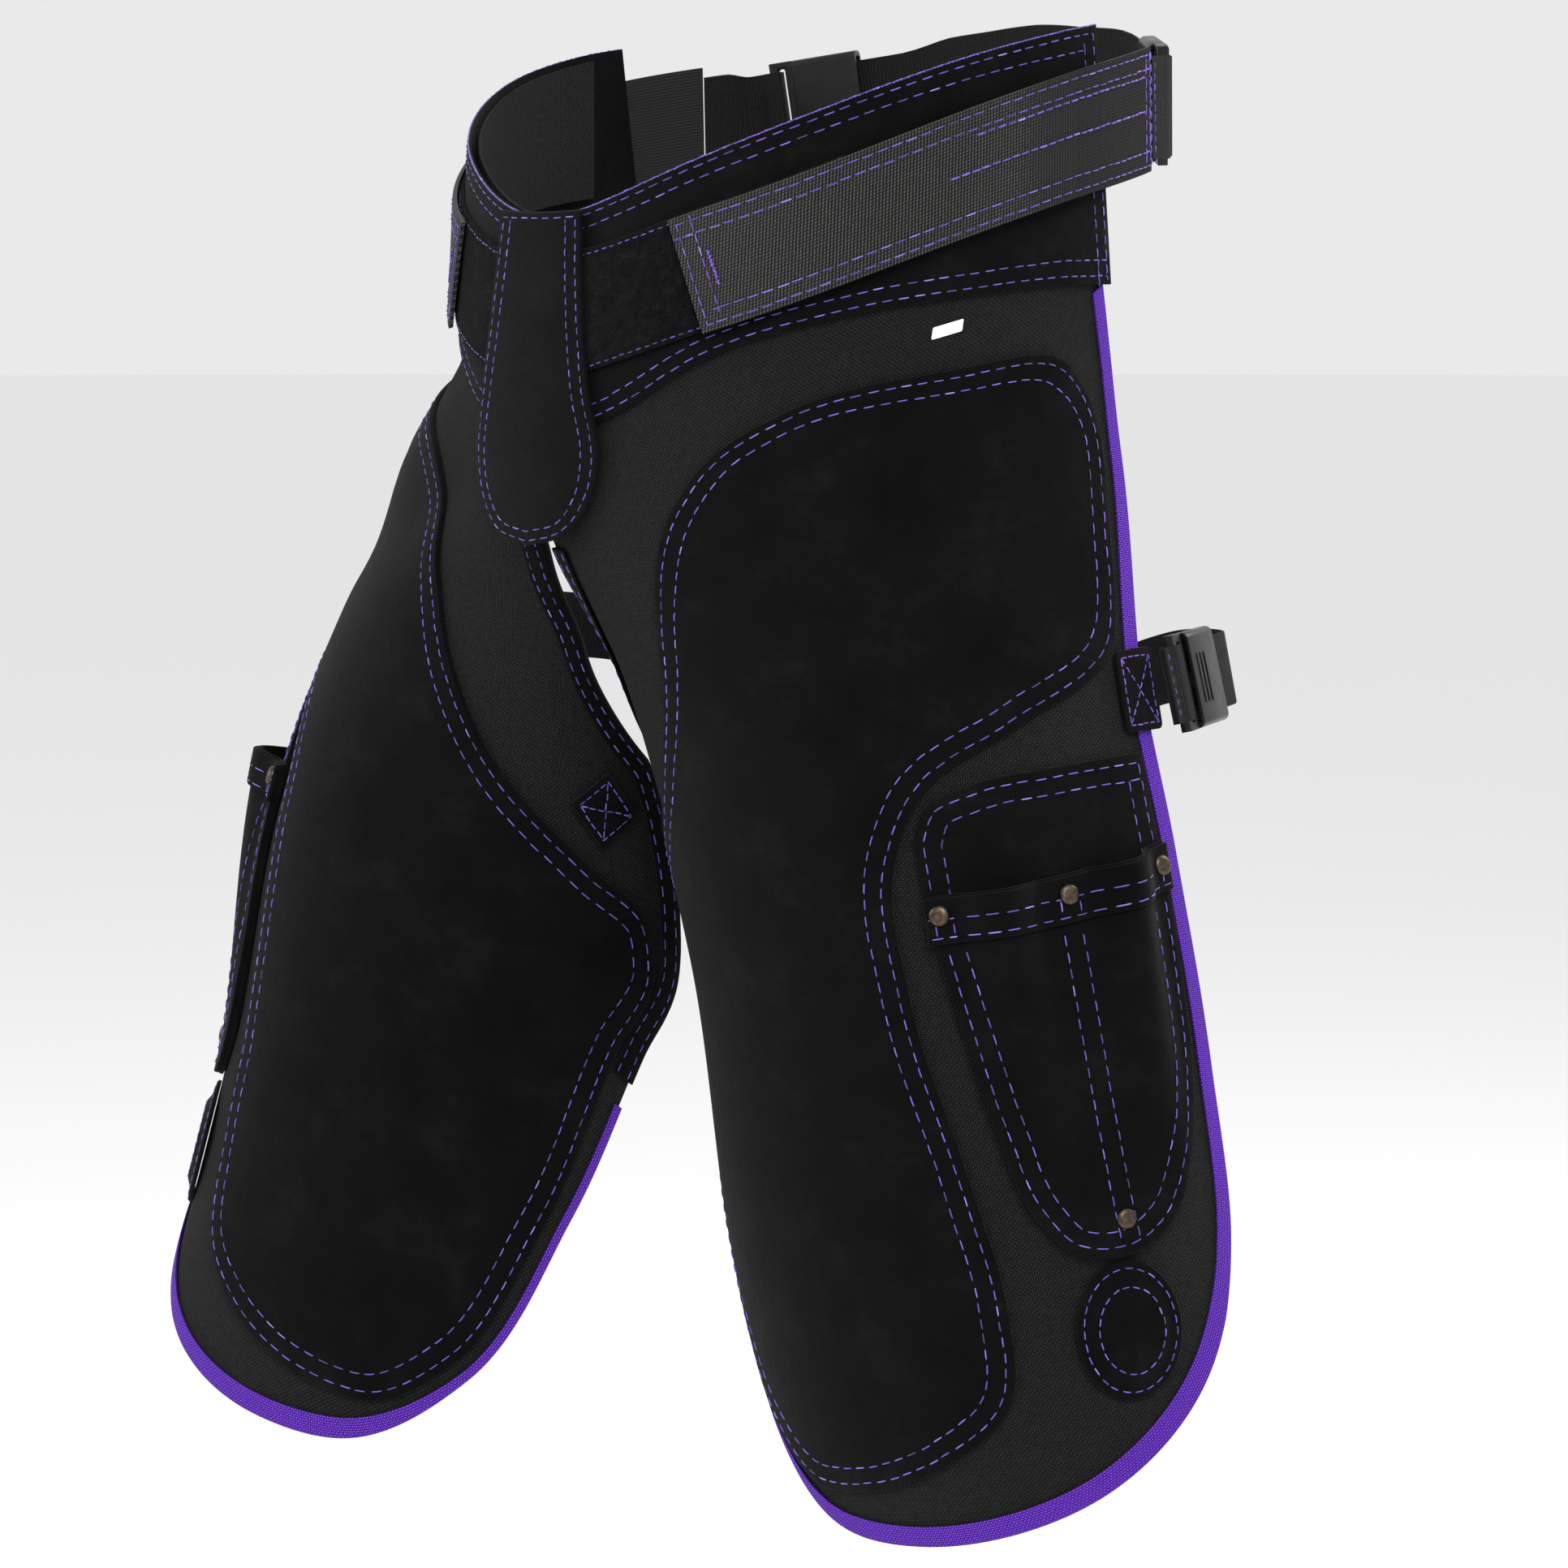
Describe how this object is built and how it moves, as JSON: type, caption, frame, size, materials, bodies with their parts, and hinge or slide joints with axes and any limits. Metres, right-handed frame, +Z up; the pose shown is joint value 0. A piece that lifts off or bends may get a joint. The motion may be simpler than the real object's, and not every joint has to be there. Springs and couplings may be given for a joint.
{
  "type": "farrier apron",
  "caption": "Split-leg work apron of canvas and suede that protects the thighs, with a belted waist, leg straps, knife pockets, and nail magnets.",
  "frame": {"origin": "centre of the waist opening, level with the belt at the sides", "axes": "+Z up, -Y to the wearer's front, +X to the wearer's left"},
  "size_m": [0.5934, 0.4228, 0.7286],
  "materials": {
    "canvas_fabric": "heavy plain-weave canvas, charcoal",
    "suede_leather": "black suede with a soft nap, purple double stitching",
    "purple_binding": "woven purple tape",
    "elastic_tape": "ribbed woven elastic, purple stitching",
    "plush_tape": "hook-and-loop tape",
    "nylon_webbing": "woven nylon webbing",
    "buckle_plastic": "moulded black plastic",
    "rivet_bronze": "aged bronze",
    "magnet_steel": "plated disc magnet",
    "white_label": "plain white tag"
  },
  "bodies": {
    "waist": {"yoke": "suede_leather", "yoke_lining": "canvas_fabric", "loop_strip": "plush_tape", "back_belt": "nylon_webbing", "left_webbing_loop": "nylon_webbing", "left_waist_buckle_male": "buckle_plastic", "right_webbing_loop": "nylon_webbing", "right_waist_buckle_male": "buckle_plastic"},
    "fly_flap": {"fly_flap": "suede_leather"},
    "left_tab": {"left_hook_tab": "elastic_tape", "left_hook_tape": "plush_tape"},
    "left_waist_release": {"left_waist_buckle_female": "buckle_plastic"},
    "left_leg": {"left_canvas_panel": "canvas_fabric", "left_thigh_patch": "suede_leather", "left_outer_binding": "purple_binding", "left_inner_binding": "suede_leather", "left_pocket_backing": "suede_leather", "left_pocket_front": "suede_leather", "left_pocket_band": "suede_leather", "left_rivet_1": "rivet_bronze", "left_rivet_2": "rivet_bronze", "left_rivet_3": "rivet_bronze", "left_rivet_4": "rivet_bronze", "left_magnet": "magnet_steel", "left_magnet_cover": "suede_leather", "left_outer_strap_tab": "suede_leather", "left_inner_strap_patch": "suede_leather", "left_leg_buckle_male": "buckle_plastic", "left_leg_webbing_loop": "nylon_webbing", "left_leg_strap": "nylon_webbing", "size_label": "white_label"},
    "left_leg_release": {"left_leg_buckle_female": "buckle_plastic"},
    "right_tab": {"right_hook_tab": "elastic_tape", "right_hook_tape": "plush_tape"},
    "right_waist_release": {"right_waist_buckle_female": "buckle_plastic"},
    "right_leg": {"right_canvas_panel": "canvas_fabric", "right_thigh_patch": "suede_leather", "right_outer_binding": "purple_binding", "right_inner_binding": "suede_leather", "right_pocket_backing": "suede_leather", "right_pocket_front": "suede_leather", "right_pocket_band": "suede_leather", "right_rivet_1": "rivet_bronze", "right_rivet_2": "rivet_bronze", "right_rivet_3": "rivet_bronze", "right_rivet_4": "rivet_bronze", "right_magnet": "magnet_steel", "right_magnet_cover": "suede_leather", "right_outer_strap_tab": "suede_leather", "right_inner_strap_patch": "suede_leather", "right_leg_buckle_male": "buckle_plastic", "right_leg_webbing_loop": "nylon_webbing", "right_leg_strap": "nylon_webbing"},
    "right_leg_release": {"right_leg_buckle_female": "buckle_plastic"}
  },
  "joints": [
    {"name": "fly_flap_hinge", "type": "hinge", "parent": "waist", "child": "fly_flap", "pos_m": [0, -0.17066, -0.01139], "axis": [-1, 0, 0], "range_deg": [0, 100]},
    {"name": "left_tab_peel", "type": "hinge", "parent": "waist", "child": "left_tab", "pos_m": [0.18057, 0.06582, 0.03827], "axis": [0, -0.0236, 0.9997], "range_deg": [0, 60]},
    {"name": "left_waist_release", "type": "slide", "parent": "waist", "child": "left_waist_release", "axis": [-0.8205, 0.5537, 0.1419], "range_m": [0, 0.02]},
    {"name": "left_hip", "type": "hinge", "parent": "waist", "child": "left_leg", "pos_m": [0, -0.03, -0.19], "axis": [-1, 0, 0], "range_deg": [0, 20]},
    {"name": "left_leg_release", "type": "slide", "parent": "left_leg", "child": "left_leg_release", "axis": [-0.4775, 0.8782, 0.0261], "range_m": [0, 0.02]},
    {"name": "right_tab_peel", "type": "hinge", "parent": "waist", "child": "right_tab", "pos_m": [-0.18057, 0.06582, 0.03827], "axis": [0, 0.0236, -0.9997], "range_deg": [0, 60]},
    {"name": "right_waist_release", "type": "slide", "parent": "waist", "child": "right_waist_release", "axis": [0.8205, 0.5537, 0.1419], "range_m": [0, 0.02]},
    {"name": "right_hip", "type": "hinge", "parent": "waist", "child": "right_leg", "pos_m": [0, -0.03, -0.19], "axis": [-1, 0, 0], "range_deg": [0, 20]},
    {"name": "right_leg_release", "type": "slide", "parent": "right_leg", "child": "right_leg_release", "axis": [0.2255, 0.9704, -0.0871], "range_m": [0, 0.02]}
  ]
}
